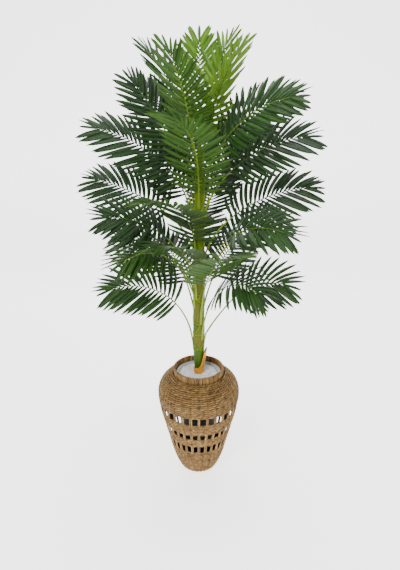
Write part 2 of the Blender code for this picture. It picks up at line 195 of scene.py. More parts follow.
# %% Templates and copies
@cache
def tube_template(rings, sides, length=1.0, capped=True):
    """A straight tube from 0 to 1 along Z, with its UV map in metres along it."""
    bm = bmesh.new()
    bmesh.ops.create_cone(bm, cap_ends=capped, cap_tris=False, segments=sides,
                          radius1=1.0, radius2=1.0, depth=1.0)
    bmesh.ops.translate(bm, verts=bm.verts, vec=(0, 0, 0.5))
    uprights = [edge for edge in bm.edges if abs(edge.verts[0].co.z - edge.verts[1].co.z) > 0.5]
    bmesh.ops.subdivide_edges(bm, edges=uprights, cuts=rings - 2, use_grid_fill=True)
    layer = bm.loops.layers.uv.new("UVMap")
    for face in bm.faces:
        turns = [atan2(loop.vert.co.y, loop.vert.co.x) / tau % 1 for loop in face.loops]
        for loop, turn in zip(face.loops, turns):
            unrolled = turn + 1 if max(turns) - turn > 0.5 else turn
            loop[layer].uv = (loop.vert.co.z * length, unrolled)
    return as_mesh(bm, "tube")


def as_mesh(bm, name):
    mesh = bpy.data.meshes.new(name)
    bm.to_mesh(mesh)
    bm.free()
    return mesh


def add_copy(bm, template, place, paint=None):
    """Copy a template into bm, its corners put where place says and its faces painted."""
    corners, faces = len(bm.verts), len(bm.faces)
    bm.from_mesh(template)
    bm.verts.ensure_lookup_table()
    for corner in bm.verts[corners:]:
        corner.co = place(corner.co)
    if paint is not None:
        bm.faces.ensure_lookup_table()
        for index, face in enumerate(bm.faces[faces:]):
            face.material_index = paint(index)


def add_piece(bm, name, materials, nodes, smooth=True):
    """Turn bm into a piece that rides on the body and stands for the nodes."""
    piece = add_object(name, as_mesh(bm, name))
    for material in materials:
        piece.data.materials.append(material)
    if smooth:
        piece.data.shade_smooth()
    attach(piece, "root")
    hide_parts(*nodes)
    triangles = sum(len(face.vertices) - 2 for face in piece.data.polygons)
    print(name, triangles, "triangles")
    return piece


def turned(section, steps):
    """A bmesh of a (radius, height) section spun once round the Z axis."""
    bm = bmesh.new()
    corners = [bm.verts.new((radius, 0.0, height)) for radius, height in section]
    edges = [bm.edges.new(pair) for pair in zip(corners, corners[1:])]
    bmesh.ops.spin(bm, geom=corners + edges, cent=(0, 0, 0), axis=(0, 0, 1),
                   angle=tau, steps=steps, use_merge=True)
    bmesh.ops.remove_doubles(bm, verts=bm.verts, dist=0.00005)
    bmesh.ops.recalc_face_normals(bm, faces=bm.faces)
    return bm


def on_line(points, at):
    """The value at `at` on the line through (place, value) points."""
    for (low, first), (high, last) in zip(points, points[1:]):
        if at <= high:
            share = max(0.0, (at - low) / (high - low))
            return first + (last - first) * share
    return points[-1][1]


def round_axis(angle, reach, height):
    """A point at an angle round the Z axis, in radians."""
    return Vector((reach * cos(angle), reach * sin(angle), height))


def wobble(*place):
    """A smooth uneven number between about -1 and 1 that is the same each time."""
    return noise.noise(Vector(place))


print("templates ready")

# %% [markdown]
# The basket is twined from soft cords of twisted seagrass. A cord changes its tint along its
# length, so the tints are separate materials dealt out stretch by stretch. Fibres run along the
# cord, and its two plies twist round each other. The last tint is dark, for what lies in shade.

# %% Seagrass
SEAGRASS_TINTS = {
    "base": (164, 124, 66),
    "straw": (192, 152, 90),
    "brown": (140, 101, 50),
    "dark": (104, 72, 36),
    "olive": (150, 122, 66),
    "rose": (172, 126, 76),
}
PLY_LENGTH = 0.026


def seagrass(name, tint):
    board = Board("seagrass_" + name, roughness=0.72)
    along, around = board.map_parts()
    twist = board.maths("SINE", along * (tau / PLY_LENGTH) + around * (2 * tau))
    fibres = board.noise((260.0, 5.0, 1.0), of="UV")
    mottle = board.noise((55.0, 55.0, 55.0))
    shade = board.clamped(fibres * 0.9 + mottle * 0.5 + twist * 0.14 - 0.2)
    board.set("Base Color", board.blend(shade, colour(*tint, 0.28), colour(*tint, 1.0)))
    board.bump(twist * 0.6 + fibres * 0.8, 0.0009)
    return board.material


seagrass_materials = [seagrass(name, tint) for name, tint in SEAGRASS_TINTS.items()]
seagrass_materials.append(seagrass("shade", (46, 30, 14)))
# How often each tint is dealt, in the order of the tints
TINT_WEIGHTS = (48, 20, 18, 2, 8, 4)
COLLAR_WEIGHTS = (52, 10, 28, 2, 6, 2)
BAR_WEIGHTS = (40, 34, 8, 0, 14, 4)
print(len(seagrass_materials), "tints of seagrass")

# %% [markdown]
# The vase's outline is a smooth line through a few points, from the middle of its foot up to the
# collar. Walking along that line by its length gives evenly spaced rows on the foot, the belly
# and the shoulder alike, and the line's direction there gives which way is outwards.

# %% Outline of the basket
# Height and radius
BASKET_SIDE = (
    (0.000, 0.012), (0.000, 0.036), (0.000, 0.058), (0.006, 0.069), (0.022, 0.084), (0.080, 0.108),
    (0.160, 0.1285), (0.232, 0.146), (0.318, 0.1665), (0.382, 0.1745), (0.418, 0.1695),
    (0.446, 0.1545), (0.462, 0.136), (0.471, 0.122), (0.476, 0.111),
)
LINE_STEPS = 10


def smooth_line(points, steps):
    """Points of a smooth curve through the given points."""
    line = [Vector(point) for point in points]
    ends = [line[0] * 2 - line[1]] + line + [line[-1] * 2 - line[-2]]
    curve = []
    for before, start, end, after in zip(ends, ends[1:], ends[2:], ends[3:]):
        for step in range(steps):
            at = step / steps
            leave, arrive = (end - before) / 2, (after - start) / 2
            curve.append(start * (2 * at**3 - 3 * at**2 + 1) + end * (3 * at**2 - 2 * at**3)
                         + leave * (at**3 - 2 * at**2 + at) + arrive * (at**3 - at**2))
    return curve + [line[-1]]


outline = smooth_line(BASKET_SIDE, LINE_STEPS)
outline_lengths = [0.0]
for low, high in zip(outline, outline[1:]):
    outline_lengths.append(outline_lengths[-1] + (high - low).length)


@cache
def outline_at(length):
    """Radius, height and upward direction (radius, height) at a length along the outline."""
    step = 1
    while step < len(outline) - 1 and outline_lengths[step] < length:
        step += 1
    low, high = outline[step - 1], outline[step]
    passed, reached = outline_lengths[step - 1:step + 1]
    place, up = low.lerp(high, (length - passed) / (reached - passed)), (high - low).normalized()
    return place.y, place.x, (up.y, up.x)


def length_at_height(height):
    """Length along the outline where it first passes a height."""
    return next(length for length, place in zip(outline_lengths, outline) if place.x >= height)


print("outline", round(outline_lengths[-1], 3), "m long")

# %% [markdown]
# In twining, two cords go round the basket together and change places between each pair of
# stakes: one passes in front while the other goes behind. A sine and a cosine of the same angle
# move a tube in and out of the wall and up and down, which is exactly that path.

# %% Twined row
CORD_OUT, CORD_UP = 0.0021, 0.0029
TWINE_OUT, TWINE_UP = 0.0021, 0.0013
FATTER_IN_FRONT, FATTER_BY_CHANCE = 0.10, 0.14
ROW_WAVE = 0.0009
STEPS_PER_CROSSING = 5
CORD_SIDES = 6
# The cords bulge out of the outline by this much
CORD_PROUD = 0.0015
WALL_MIDDLE = CORD_OUT + TWINE_OUT - CORD_PROUD
# Least radius of a row, and how many crossings such a row has
CROSSINGS = ((0.145, 60), (0.120, 52), (0.098, 44), (0.078, 36), (0.056, 26), (0.036, 18), (0.0, 10))
picks = random.Random(7)


def deal(weights):
    """The number of a tint, dealt by chance."""
    return picks.choices(range(len(weights)), weights)[0]


def on_basket(length, angle, out, up):
    """A point of the wall: out from its middle, and up along the outline."""
    radius, height, (up_radius, up_height) = outline_at(length)
    out -= WALL_MIDDLE
    radius += up_height * out + up_radius * up
    height += up_radius * -out + up_height * up
    return round_axis(angle, radius, height)


def twine_row(bm, length, row, slant):
    """One row: two cords that change places all the way round."""
    crossings = next(count for least, count in CROSSINGS if outline_at(length)[0] > least)
    template = tube_template(crossings * STEPS_PER_CROSSING + 1, CORD_SIDES, capped=False)
    for cord in (0, 1):
        tints = []
        while len(tints) < crossings:
            tints += [deal(TINT_WEIGHTS)] * picks.choice((1, 1, 2, 3))

        def place(corner):
            angle = tau * corner.z
            phase = pi * (crossings * corner.z + cord)
            east, north = cos(angle), sin(angle)
            uneven = wobble(east * 9, north * 9, row * 3.1 + cord * 17)
            fat = 1.0 + FATTER_IN_FRONT * cos(phase) + FATTER_BY_CHANCE * uneven
            out = TWINE_OUT * cos(phase) + corner.y * CORD_OUT * fat
            up = (slant * TWINE_UP * sin(phase) + corner.x * CORD_UP * fat
                  + ROW_WAVE * wobble(east * 4, north * 4, row * 1.7))
            point = on_basket(length, angle, out, up)
            point.z = max(0.0, point.z)
            return point

        def paint(index):
            return tints[int(template.polygons[index].center.z * crossings) % crossings]

        add_copy(bm, template, place, paint)


print("woven wall", round(2000 * (CORD_OUT + TWINE_OUT), 1), "mm thick")

# %% [markdown]
# Rows are stacked from the middle of the foot up to the collar, with three gaps for the windows.
# In the lower zones every second row slants the other way, which makes chevrons. Behind the rows
# the flat stakes form a thin dark shell, so no light comes through between two rows.

# %% Woven zones
ROW_PITCH = 0.0090
STAKE_INSET, STAKE_DEPTH, STAKE_THICK = 0.002, 0.0012, 0.0016
STAKE_STEPS, STAKE_SIDES = 12, 60
STAKE_TINT = len(SEAGRASS_TINTS)
STAKE_FLOOR = 0.0004
JOIN_GAP = 0.00003
WINDOW_ROWS = ((0.152, 0.185), (0.226, 0.257), (0.313, 0.349))


def add_stakes(bm, start, end):
    """The stakes pressed flat behind the rows, as one thin turned shell."""
    first, last = start + STAKE_INSET, end - STAKE_INSET
    lengths = [first + (last - first) * step / STAKE_STEPS for step in range(STAKE_STEPS + 1)]
    inner = [on_basket(length, 0.0, -STAKE_DEPTH - STAKE_THICK, 0.0) for length in lengths]
    outer = [on_basket(length, 0.0, -STAKE_DEPTH, 0.0) for length in reversed(lengths)]
    section = [(max(0.0, place.x), max(STAKE_FLOOR, place.z)) for place in inner + outer]
    shell = turned(section + section[:1], STAKE_SIDES)
    for face in shell.faces:
        face.material_index = STAKE_TINT
    bm.from_mesh(as_mesh(shell, "stakes"))


def add_woven(bm, name):
    bmesh.ops.recalc_face_normals(bm, faces=bm.faces)
    add_piece(bm, name, seagrass_materials, ["basket"])


def make_weave(name, start, end, chevron):
    """All rows of one zone of the basket, as one piece."""
    bm = bmesh.new()
    count = round((end - start) / ROW_PITCH)
    for row in range(count):
        slant = -1 if chevron and row % 2 else 1
        twine_row(bm, start + (end - start) * (row + 0.5) / count, row, slant)
    bmesh.ops.remove_doubles(bm, verts=bm.verts, dist=JOIN_GAP)
    add_stakes(bm, start, end)
    add_woven(bm, name)


ends = [length_at_height(height) for window in WINDOW_ROWS for height in window]
ends = [0.0] + ends + [outline_lengths[-1]]
for zone, zone_name in enumerate(("foot", "low_band", "high_band", "shoulder")):
    make_weave("weave_" + zone_name, ends[2 * zone], ends[2 * zone + 1], chevron=zone < 3)

# %% [markdown]
# Three rows of windows let one see into the basket. Between the windows the stakes show, each as
# two cords side by side. They are short tubes that run up the wall's middle and bow a little, by
# a different amount each, because cords by hand are never quite straight.

# %% Bars between the windows
WINDOWS_AROUND = 30
BAR_TURN = radians(270.5)
BAR_SINK = 0.007
BAR_CORD = 0.0027
BAR_WANDER = 0.008
BAR_LEAN = 0.0012
BAR_LEAST_BOW, BAR_MOST_BOW = -0.0006, 0.0012
BAR_BULGE = 0.001


def make_bars():
    bm = bmesh.new()
    template = tube_template(8, 6, length=0.04)
    for low, high in WINDOW_ROWS:
        start, end = length_at_height(low) - BAR_SINK, length_at_height(high) + BAR_SINK
        for bar in range(WINDOWS_AROUND):
            turn = BAR_TURN + tau * bar / WINDOWS_AROUND + picks.uniform(-BAR_WANDER, BAR_WANDER)
            for side in (-1, 1):
                lean = picks.uniform(-BAR_LEAN, BAR_LEAN)
                bow = picks.uniform(BAR_LEAST_BOW, BAR_MOST_BOW)

                def place(corner):
                    length = start + (end - start) * corner.z
                    middle = sin(pi * corner.z)
                    reach = outline_at(length)[0] - WALL_MIDDLE
                    sideways = side * (BAR_CORD + bow * middle) + lean * (corner.z - 0.5)
                    angle = turn + (sideways + corner.x * BAR_CORD) / reach
                    return on_basket(length, angle, corner.y * BAR_CORD + BAR_BULGE * middle, 0.0)

                tint = deal(BAR_WEIGHTS)
                add_copy(bm, template, place, lambda index: tint)
    add_woven(bm, "window_bars")


make_bars()

# %% [markdown]
# A collar closes the mouth. Cords are wrapped over a firm ring, in pairs, so the collar shows
# upright cords with a dark gap after each pair. Each cord climbs outside, turns over the top in
# a half circle and goes down inside, and a turned ring behind them keeps light from leaking.

# %% Wrapped collar
COLLAR_PAIRS = 42
COLLAR_MIDDLE = 0.102
COLLAR_HALF = 0.0033
COLLAR_FOOT, COLLAR_BEND, COLLAR_INNER_FOOT = 0.4635, 0.500, 0.456
COLLAR_CORD_OUT, COLLAR_CORD_WIDE = 0.0022, 0.0037
COLLAR_REACH = 0.1075
COLLAR_WANDER, COLLAR_LEAN = 0.006, 0.02
COLLAR_RING_HALF = 0.0015
# Half the distance between the cords of a pair, as a share of the distance between pairs
PAIR_SPREAD = 0.235


def collar_path(share):
    """Radius, height and outward direction at a share of the way over the collar."""
    climb, over = COLLAR_BEND - COLLAR_FOOT, pi * COLLAR_HALF
    length = share * (climb + over + COLLAR_BEND - COLLAR_INNER_FOOT)
    if length < climb:
        return COLLAR_MIDDLE + COLLAR_HALF, COLLAR_FOOT + length, (1.0, 0.0)
    if length < climb + over:
        turn = (length - climb) / COLLAR_HALF
        out = (cos(turn), sin(turn))
        return COLLAR_MIDDLE + COLLAR_HALF * out[0], COLLAR_BEND + COLLAR_HALF * out[1], out
    return COLLAR_MIDDLE - COLLAR_HALF, COLLAR_BEND - (length - climb - over), (-1.0, 0.0)


def make_collar():
    bm = bmesh.new()
    template = tube_template(18, 6, length=0.08)
    for cord in range(2 * COLLAR_PAIRS):
        pair, side = divmod(cord, 2)
        turn = tau * (pair + (side - 0.5) * 2 * PAIR_SPREAD) / COLLAR_PAIRS
        turn += picks.uniform(-COLLAR_WANDER, COLLAR_WANDER)
        lean = picks.uniform(-COLLAR_LEAN, COLLAR_LEAN)

        def place(corner):
            radius, height, (out, up) = collar_path(corner.z)
            uneven = 1 + 0.15 * wobble(cord * 3.7, corner.z * 4, 5.0)
            thick = corner.y * COLLAR_CORD_OUT * uneven
            radius, height = radius + out * thick, height + up * thick
            angle = turn + lean * (corner.z - 0.4) + corner.x * COLLAR_CORD_WIDE * uneven / COLLAR_REACH
            return round_axis(angle, radius, height)

        tint = deal(COLLAR_WEIGHTS)
        add_copy(bm, template, place, lambda index: tint)
    add_woven(bm, "collar_wrap")


make_collar()
inside, outside = COLLAR_MIDDLE - COLLAR_RING_HALF, COLLAR_MIDDLE + COLLAR_RING_HALF
ring = [(inside, COLLAR_INNER_FOOT), (outside, COLLAR_INNER_FOOT), (outside, COLLAR_BEND),
        (inside, COLLAR_BEND)]
add_piece(turned(ring + ring[:1], 72), "collar_ring",
          [seagrass("ring", SEAGRASS_TINTS["dark"])], ["basket"])

# %% [markdown]
# A plastic pot stands inside the basket. Its grey rim shows in the mouth. Its body shows through the
# windows and is painted near black, as painted shade for the shaded inside of the basket. Each edge of
# the rim has a small round that catches the light.

# %% Pot inside the basket
POT_RIM, POT_RIM_INSIDE, POT_TOP = 0.0945, 0.0838, 0.480
POT_FOOT_RADIUS, POT_FOOT = 0.058, 0.0065
POT_WALL = 0.003
LIP_DEEP = 0.008
EDGE_ROUND = 0.0012


def round_corner(radius, height, start, end, steps=4):
    """Points of a small arc round a centre, between two angles in degrees."""
    turns = [radians(start + (end - start) * step / steps) for step in range(steps + 1)]
    return [(radius + EDGE_ROUND * cos(turn), height + EDGE_ROUND * sin(turn))
            for turn in turns]


def pot_plastic(name, low, high):
    board = Board("pot_" + name, roughness=0.5)
    scuffs = board.noise((40.0, 40.0, 160.0), detail=4.0)
    board.set("Base Color", board.blend(scuffs, colour(*low), colour(*high)))
    board.set("Roughness", scuffs * 0.25 + 0.5)
    board.set("Specular IOR Level", 0.3)
    board.bump(scuffs, 0.0003)
    return board.material


under = POT_TOP - LIP_DEEP
pot_section = (
    [(0.0, POT_FOOT), (POT_FOOT_RADIUS, POT_FOOT), (POT_RIM_INSIDE + 0.0007, under)]
    + round_corner(POT_RIM - EDGE_ROUND, under + EDGE_ROUND, -90, 0)
    + round_corner(POT_RIM - EDGE_ROUND, POT_TOP - EDGE_ROUND, 0, 90)
    + round_corner(POT_RIM_INSIDE + EDGE_ROUND, POT_TOP - EDGE_ROUND, 90, 180)
    + [(POT_RIM_INSIDE - 0.0008, under - 0.006), (POT_RIM_INSIDE - POT_WALL, under - 0.007),
       (POT_FOOT_RADIUS - POT_WALL, POT_FOOT + POT_WALL), (0.0, POT_FOOT + POT_WALL)]
)
pot = turned(pot_section, 96)
for face in pot.faces:
    face.material_index = 0 if face.calc_center_median().z > under else 1
# The rim keeps the grey of the plastic, and the body below it is painted near black: painted shade for
# the inside of the basket
pot_materials = [pot_plastic("rim", (168, 174, 176), (206, 210, 211)),
                 pot_plastic("body", (20, 20, 20), (38, 36, 34))]
add_piece(pot, "plastic_pot", pot_materials, ["inner_pot"])

# %% [markdown]
# White crushed stone fills the pot. Each stone is an icosphere of twenty faces that is stretched and
# turned by chance and kept flat shaded, which gives the sharp facets of broken stone. Two layers on a
# shaken grid cover the bed below them. The bed is painted a darker grey, as painted shade that shows in
# the gaps between the stones.

# %% Crushed stone
STONE_TINTS = {"white": (250, 250, 248), "grey": (228, 230, 232), "warm": (244, 236, 224)}
STONE_WEIGHTS = (60, 25, 15)
STONE_BED, STONE_REACH = 0.4690, 0.0795
STONE_PITCH, ROW_SQUEEZE = 0.0080, 0.87
STONE_HALF = 0.0044
STONE_SHAKE = 0.0022
LAYER_LIFT = 0.0032
TRUNK_ROOM = 0.017
CHIP_FINE, CHIP_SHIFT = 1.7, 900
BED_DEEP = 0.02


def stone(name, tint):
    board = Board("stone_" + name, roughness=0.85)
    grain = board.noise((700.0, 700.0, 700.0), detail=4.0)
    board.set("Base Color", board.blend(grain, colour(*tint, 0.78), colour(*tint, 1.08)))
    board.bump(grain, 0.0006)
    return board.material


stone_materials = [stone(name, tint) for name, tint in STONE_TINTS.items()]


def make_stones():
    bm = bmesh.new()
    bmesh.ops.create_icosphere(bm, subdivisions=1, radius=1.0)
    template = as_mesh(bm, "stone")
    bm = bmesh.new()
    across = int(STONE_REACH / STONE_PITCH) + 1
    for layer in (0, 1):
        for row in range(-across, across + 1):
            for column in range(-across, across + 1):
                east = (column + row % 2 / 2 + layer / 2) * STONE_PITCH
                east += picks.uniform(-STONE_SHAKE, STONE_SHAKE)
                north = row * STONE_PITCH * ROW_SQUEEZE + picks.uniform(-STONE_SHAKE, STONE_SHAKE)
                if not TRUNK_ROOM < hypot(east, north) < STONE_REACH - 0.0012 * (row % 3):
                    continue
                height = STONE_BED + layer * LAYER_LIFT + picks.uniform(0, STONE_SHAKE)
                centre = Vector((east, north, height))
                sizes = [STONE_HALF * picks.uniform(0.65, 1.25) for _ in range(3)]
                spin = Euler([picks.uniform(0, tau) for _ in range(3)]).to_matrix()

                def place(corner):
                    chip = 1 + 0.25 * wobble(*(corner * CHIP_FINE + centre * CHIP_SHIFT))
                    parts = [size * part * chip for size, part in zip(sizes, corner)]
                    return centre + spin @ Vector(parts)

                tint = deal(STONE_WEIGHTS)
                add_copy(bm, template, place, lambda index: tint)
    bmesh.ops.recalc_face_normals(bm, faces=bm.faces)
    add_piece(bm, "crushed_stone", stone_materials, ["stones"], smooth=False)


make_stones()
# The bed is far darker than any stone: painted shade for the gaps between the stones
bed = [(0.0, STONE_BED - BED_DEEP), (STONE_REACH, STONE_BED - BED_DEEP), (STONE_REACH, STONE_BED),
       (0.0, STONE_BED)]
add_piece(turned(bed, 48), "stone_bed", [stone("bed", (120, 116, 108))], ["stones"])

# %% [markdown]
# The trunk is a bundle of leaf sheaths. Every sheath wraps the stem below its own stalk, and its
# upper edge falls away on both sides of that stalk, so two neighbours leave a V between them.
# Each one flares a little as it climbs, so older sheaths lie outside younger ones.

# %% Trunk
TRUNK_FOOT, TRUNK_TIP, TRUNK_LEAN = 0.4763, 1.47, 0.004
TRUNK_SIDE = (
    (TRUNK_FOOT, 0.0178), (0.504, 0.0188), (0.540, 0.0206), (0.600, 0.0232), (0.660, 0.0243),
    (0.845, 0.0235), (1.000, 0.0226), (1.100, 0.0218), (1.240, 0.0192), (1.340, 0.0150),
    (1.420, 0.0095), (TRUNK_TIP, 0.0045),
)
CORE_INSET, CORE_LEAST = 0.0032, 0.002
SHEATH_LONG = 0.30
SHEATH_FLARE, LIP_FLARE = 0.014, 0.0007
SHEATH_WALL = 0.0009
SHEATH_RINGS, SHEATH_SIDES = 16, 56
RIDGE = 0.0004
# Degrees within which most of the fall of a sheath's edge happens
EDGE_BEND = 45.0
Sheath = namedtuple("Sheath", "turn peak fall tint")
SHEATHS = [Sheath(*row) for row in (
    (342, 0.640, 0.047, 0), (190, 0.650, 0.055, 0), (60, 0.740, 0.070, 1),
    (308, 0.752, 0.086, 1), (120, 0.800, 0.080, 0), (200, 0.870, 0.063, 1),
    (312, 0.885, 0.084, 1), (88, 0.930, 0.080, 0), (215, 1.000, 0.080, 1),
    (330, 1.040, 0.085, 1), (150, 1.080, 0.080, 1), (10, 1.110, 0.080, 2),
    (185, 1.190, 0.080, 2), (340, 1.235, 0.085, 2), (100, 1.270, 0.080, 2),
    (240, 1.340, 0.080, 2), (20, 1.370, 0.080, 2),
)]


def trunk_radius(height):
    return on_line(TRUNK_SIDE, height)


def trunk_centre(height):
    share = (height - TRUNK_FOOT) / (TRUNK_TIP - TRUNK_FOOT)
    return Vector((TRUNK_LEAN * share, 0.0, height))


def sheath_edge(sheath, turn):
    """Height of a sheath's upper edge at an angle round the trunk, in degrees."""
    away = abs((turn - sheath.turn + 180) % 360 - 180)
    share = (1 - exp(-away / EDGE_BEND)) / (1 - exp(-90 / EDGE_BEND))
    return sheath.peak - sheath.fall * share


def green_stem(name, tint, rim):
    """Moulded green plastic with fine streaks up the stem and a paler cut edge."""
    board = Board("stem_" + name, roughness=0.58)
    board.set("Specular IOR Level", 0.25)
    streaks = board.noise((420.0, 420.0, 9.0), detail=3.0)
    broad = board.noise((45.0, 45.0, 12.0), detail=1.0)
    edge = board.clamped((board.map_parts()[0] - 0.965) * 30.0)
    shade = board.clamped(streaks * 0.9 + broad * 0.5 - 0.2)
    body = board.blend(shade, colour(*tint, 0.4), colour(*tint, 0.95))
    board.set("Base Color", board.blend(edge, body, colour(*rim)))
    board.bump(streaks, 0.0006)
    return board.material


STEM_TINTS = (("green", (72, 106, 6)), ("olive", (106, 110, 3)), ("bright", (122, 150, 10)))
stem_materials = [green_stem(name, tint, (132, 148, 24)) for name, tint in STEM_TINTS]


def add_wall(piece, thickness, offset):
    """Give a thin shell its thickness, inwards where offset is -1 and outwards where it is 1."""
    wall = piece.modifiers.new("wall", "SOLIDIFY")
    wall.thickness = thickness
    wall.offset = offset


def make_sheaths():
    bm = bmesh.new()
    template = tube_template(SHEATH_RINGS, SHEATH_SIDES, capped=False)
    for number, sheath in enumerate(SHEATHS):
        base = sheath.peak - SHEATH_LONG

        def place(corner):
            turn = degrees(atan2(corner.y, corner.x))
            low = max(base, TRUNK_FOOT)
            height = low + (sheath_edge(sheath, turn) - low) * corner.z
            grow = SHEATH_FLARE * (height - base) + LIP_FLARE * corner.z ** 10
            ridges = RIDGE * wobble(corner.x * 7, corner.y * 7, number * 5.0)
            reach = trunk_radius(height) - CORE_INSET + grow + ridges
            return trunk_centre(height) + Vector((corner.x * reach, corner.y * reach, 0.0))

        add_copy(bm, template, place, lambda index: sheath.tint)
    piece = add_piece(bm, "trunk_sheaths", stem_materials, ["trunk"])
    add_wall(piece, SHEATH_WALL, -1.0)


def make_core():
    bm = bmesh.new()

    def place(corner):
        height = TRUNK_FOOT + (TRUNK_TIP - TRUNK_FOOT) * corner.z
        reach = max(CORE_LEAST, trunk_radius(height) - CORE_INSET)
        return trunk_centre(height) + Vector((corner.x * reach, corner.y * reach, 0.0))

    add_copy(bm, tube_template(60, 32), place)
    add_piece(bm, "trunk_core", stem_materials[2:], ["trunk"])


make_sheaths()
make_core()

# %% [markdown]
# A dry husk the colour of ochre wraps the foot of the trunk and climbs on its right side, where
# it leans away from the stem. A flat grid is rolled round the trunk, its top cut to the husk's
# edge, and a Solidify modifier gives the thin shell its thickness.

# %% Dry husk
HUSK_FOOT = 0.4745
HUSK_FLARE, FLARE_OVER = 0.0115, 0.1
HUSK_WALL = 0.0015
HUSK_GAP = 0.0008
TORN_EDGE, CRUMPLE = 0.0015, 0.0006
# Degrees round the trunk, and the height of the upper edge there
HUSK_EDGE = (
    (-200, 0.498), (-90, 0.506), (-64, 0.522), (-50, 0.560), (-42, 0.586), (-12, 0.592), (8, 0.594),
    (28, 0.586), (44, 0.560),
)

husk_board = Board("ochre_husk", roughness=0.55)
grain = husk_board.noise((380.0, 380.0, 22.0), detail=3.0)
burn = husk_board.noise((70.0, 70.0, 40.0), detail=2.0)
husk_shade = husk_board.clamped(grain * 1.1 - 0.05)
husk_tone = husk_board.blend(husk_shade, colour(200, 122, 14), colour(238, 168, 40))
stain = husk_board.clamped((burn - 0.56) * 6.0) * 0.75
husk_board.set("Base Color", husk_board.blend(stain, husk_tone, colour(150, 86, 14)))
husk_board.bump(grain, 0.0008)


def make_husk():
    bm = bmesh.new()
    bmesh.ops.create_grid(bm, x_segments=64, y_segments=14, size=0.5)
    bmesh.ops.translate(bm, verts=bm.verts, vec=(0.5, 0.5, 0))
    first, last = HUSK_EDGE[0][0], HUSK_EDGE[-1][0]
    for corner in bm.verts:
        round_share, up_share = corner.co.x, corner.co.y
        turn = first + (last - first) * (1 - (1 - round_share) ** 2)
        near = [on_line(HUSK_EDGE, turn + shift) for shift in (-6, 0, 6)]
        top = sum(near) / 3 + TORN_EDGE * wobble(turn * 0.12, 3.0, 1.0)
        climb = (top - HUSK_EDGE[0][1]) / FLARE_OVER
        height = HUSK_FOOT + (top - HUSK_FOOT) * up_share
        flare = HUSK_FLARE * climb * up_share + CRUMPLE * wobble(turn * 0.2, height * 60, 2.0)
        reach = trunk_radius(height) + flare + HUSK_GAP
        corner.co = trunk_centre(height) + round_axis(radians(turn), reach, 0.0)
    piece = add_piece(bm, "dry_husk", [husk_board.material], ["dry_sheath"])
    add_wall(piece, HUSK_WALL, 1.0)


make_husk()

# %% [markdown]
# Every frond follows one rule: a stalk leaves the trunk at its foot, climbs, bends over and ends
# in a tip, and its leaflets stand on both sides of the rib. One row of numbers for each frond
# says which way it faces, how far it swings round, the height of its foot, the lengths of its
# bare stalk and its blade, how steeply it climbs at three places, and how far it is rolled.

# %% Fronds
Frond = namedtuple("Frond", "turn swing foot petiole blade rise_foot rise_blade rise_tip roll look")
# The last column picks the leaf colours: painted shade for fronds at the back and sides, half painted
# shade, painted light for the front fronds, or the fresh green of young fronds
FRONDS = [Frond(*row) for row in (
    # lowest tier
    (190, 0, 0.65, 0.16, 0.28, 82, 52, -16, -55, "mid"),
    (342, 0, 0.66, 0.22, 0.21, 62, 50, -8, 50, "mid"),
    (308, 0, 0.70, 0.15, 0.28, 76, 58, -14, 35, "mid"),
    (118, 0, 0.72, 0.16, 0.30, 70, 45, 0, -25, "shade_dark"),
    (60, 0, 0.74, 0.16, 0.30, 68, 42, 0, 30, "shade_dark"),
    # second tier
    (292, 10, 0.77, 0.08, 0.34, 80, 70, 16, 0, "light"),
    (222, 0, 0.84, 0.17, 0.25, 70, 48, -18, -30, "light"),
    (150, 0, 0.86, 0.17, 0.25, 62, 30, -8, -50, "shade_dark"),
    (88, 0, 0.86, 0.16, 0.32, 70, 45, 0, 10, "shade_dark"),
    (242, -10, 0.88, 0.05, 0.29, 80, 70, 4, 0, "light"),
    (25, 0, 0.90, 0.18, 0.24, 60, 40, -3, 40, "shade_dark"),
    (325, 0, 0.94, 0.18, 0.24, 64, 42, -14, 35, "mid"),
    # third tier
    (210, 0, 0.93, 0.19, 0.25, 65, 44, 6, -50, "shade_dark"),
    (75, 0, 1.00, 0.16, 0.32, 70, 45, 5, -10, "shade_dark"),
    (5, 0, 1.01, 0.17, 0.32, 70, 38, 3, 50, "shade_dark"),
    (243, -20, 1.02, 0.05, 0.32, 80, 70, 4, 0, "light"),
    (170, 0, 1.04, 0.16, 0.30, 64, 36, 12, -50, "shade_dark"),
    (122, 0, 1.08, 0.16, 0.32, 72, 50, 10, -30, "shade_dark"),
    (60, 0, 1.08, 0.15, 0.34, 75, 65, 25, 30, "shade_dark"),
    # fourth tier
    (175, 0, 1.17, 0.12, 0.37, 85, 52, 12, -50, "shade_dark"),
    (347, 0, 1.18, 0.17, 0.29, 70, 45, 8, 50, "shade_dark"),
    (45, 0, 1.20, 0.15, 0.34, 70, 45, 0, 50, "shade_dark"),
    (268, -45, 1.20, 0.05, 0.37, 82, 76, 22, 0, "light"),
    (100, 0, 1.22, 0.15, 0.32, 75, 55, 20, 0, "shade_dark"),
    (172, 0, 1.22, 0.14, 0.32, 80, 65, 52, -45, "shade_dark"),
    (135, 0, 1.26, 0.15, 0.32, 76, 60, 30, -30, "shade_dark"),
    # crown
    (328, 0, 1.27, 0.15, 0.32, 76, 56, 10, 55, "mid"),
    (20, 0, 1.31, 0.15, 0.28, 64, 48, 24, 45, "shade_dark"),
    (242, 0, 1.33, 0.12, 0.30, 80, 72, 50, -10, "light"),
    (90, 0, 1.34, 0.10, 0.34, 88, 84, 68, 0, "fresh"),
    (315, 0, 1.36, 0.10, 0.30, 82, 74, 50, 15, "fresh"),
    (165, 0, 1.37, 0.10, 0.30, 82, 72, 52, -10, "mid"),
    (30, 0, 1.39, 0.10, 0.28, 84, 80, 66, 10, "fresh"),
)]
print(len(FRONDS), "fronds")

# %% [markdown]
# The rib is walked in small steps, each along the direction that the rule gives for its middle.
# The direction comes with an upper face and a side, and the roll of the frond turns these two
# round the rib.

